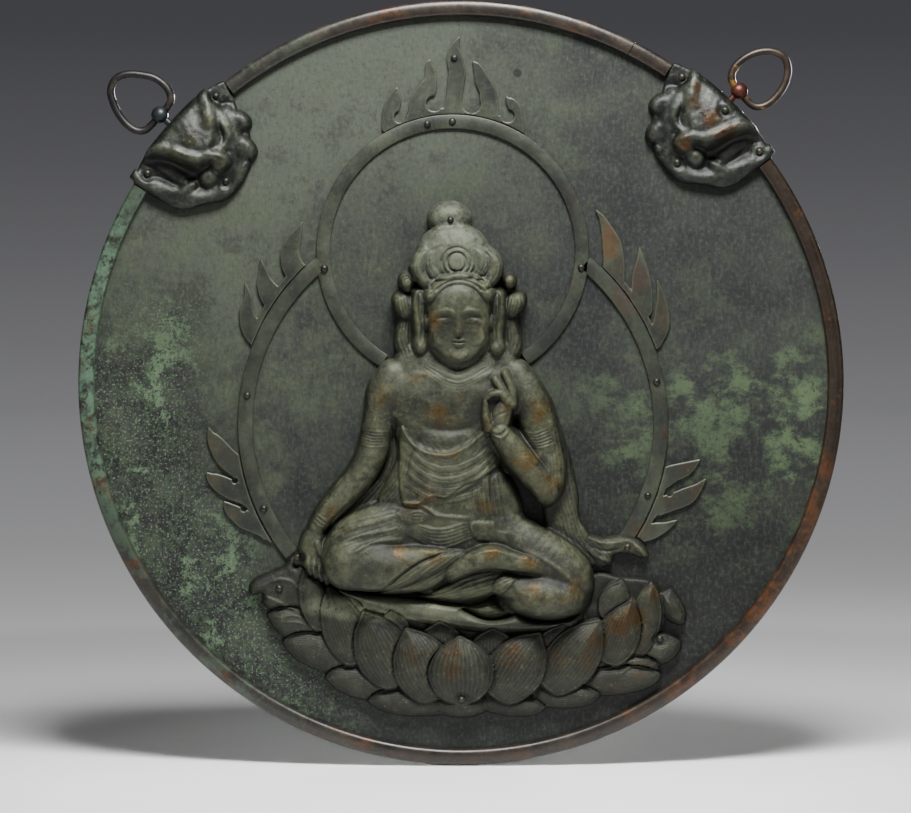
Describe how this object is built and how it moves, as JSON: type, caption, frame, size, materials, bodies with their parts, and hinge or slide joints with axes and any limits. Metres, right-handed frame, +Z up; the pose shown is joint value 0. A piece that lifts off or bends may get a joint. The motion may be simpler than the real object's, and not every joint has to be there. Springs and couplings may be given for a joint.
{
  "type": "votive hanging plaque",
  "caption": "Round bronze votive plaque with a hammered seated figure on a lotus, halo bands with flames, corner mounts and hanging rings.",
  "frame": {"origin": "centre of the disc's flat back face", "axes": "+Z up, +X to the viewer's right, the front faces -Y and the back faces +Y"},
  "size_m": [0.382, 0.0308, 0.3818],
  "materials": {
    "disc_bronze": "dark green patina, matt",
    "rim_bronze": "brown, worn at the top",
    "halo_bronze": "green-grey patina",
    "hammered_bronze": "grey-green patina, rubbed to brown on the high places",
    "rivet_bronze": "dark",
    "dark_ring_bronze": "dark grey, polished",
    "coppery_ring_bronze": "coppery, polished",
    "red_eye_copper": "red-brown, polished"
  },
  "bodies": {
    "root": {"back_disc": "disc_bronze", "rim_top": "rim_bronze", "rim_lower": "rim_bronze", "bodhisattva": "hammered_bronze", "rivet_bodhisattva_topknot": "rivet_bronze", "rivet_bodhisattva_scarf_left": "rivet_bronze", "rivet_bodhisattva_scarf_right": "rivet_bronze", "lotus_pedestal": "hammered_bronze", "rivet_lotus_pedestal_petal_left": "rivet_bronze", "rivet_lotus_pedestal_petal_below": "rivet_bronze", "rivet_lotus_pedestal_petal_right": "rivet_bronze", "nimbus_band": "halo_bronze", "mandorla_band_left": "halo_bronze", "mandorla_band_right": "halo_bronze", "flames_top": "halo_bronze", "flames_upper_left": "halo_bronze", "flames_upper_right": "halo_bronze", "flames_lower_left": "halo_bronze", "flames_lower_right": "halo_bronze", "rivet_nimbus_left": "rivet_bronze", "rivet_nimbus_lap": "rivet_bronze", "rivet_nimbus_top": "rivet_bronze", "rivet_nimbus_right": "rivet_bronze", "rivet_mandorla_left_upper": "rivet_bronze", "rivet_mandorla_left_lower": "rivet_bronze", "rivet_mandorla_right_upper": "rivet_bronze", "rivet_mandorla_right_lower": "rivet_bronze", "rivet_flame_top": "rivet_bronze", "corner_mount_left": "hammered_bronze", "rivet_corner_mount_left_upper": "rivet_bronze", "rivet_corner_mount_left_lower": "rivet_bronze", "rivet_corner_mount_left_inner": "rivet_bronze", "corner_mount_right": "hammered_bronze", "rivet_corner_mount_right_upper": "rivet_bronze", "rivet_corner_mount_right_middle": "rivet_bronze", "rivet_corner_mount_right_lower": "rivet_bronze", "rivet_corner_mount_right_inner": "rivet_bronze", "hanging_ring_left": "dark_ring_bronze", "ring_eye_left": "dark_ring_bronze", "hanging_ring_right": "coppery_ring_bronze", "ring_eye_right": "red_eye_copper"}
  },
  "joints": []
}
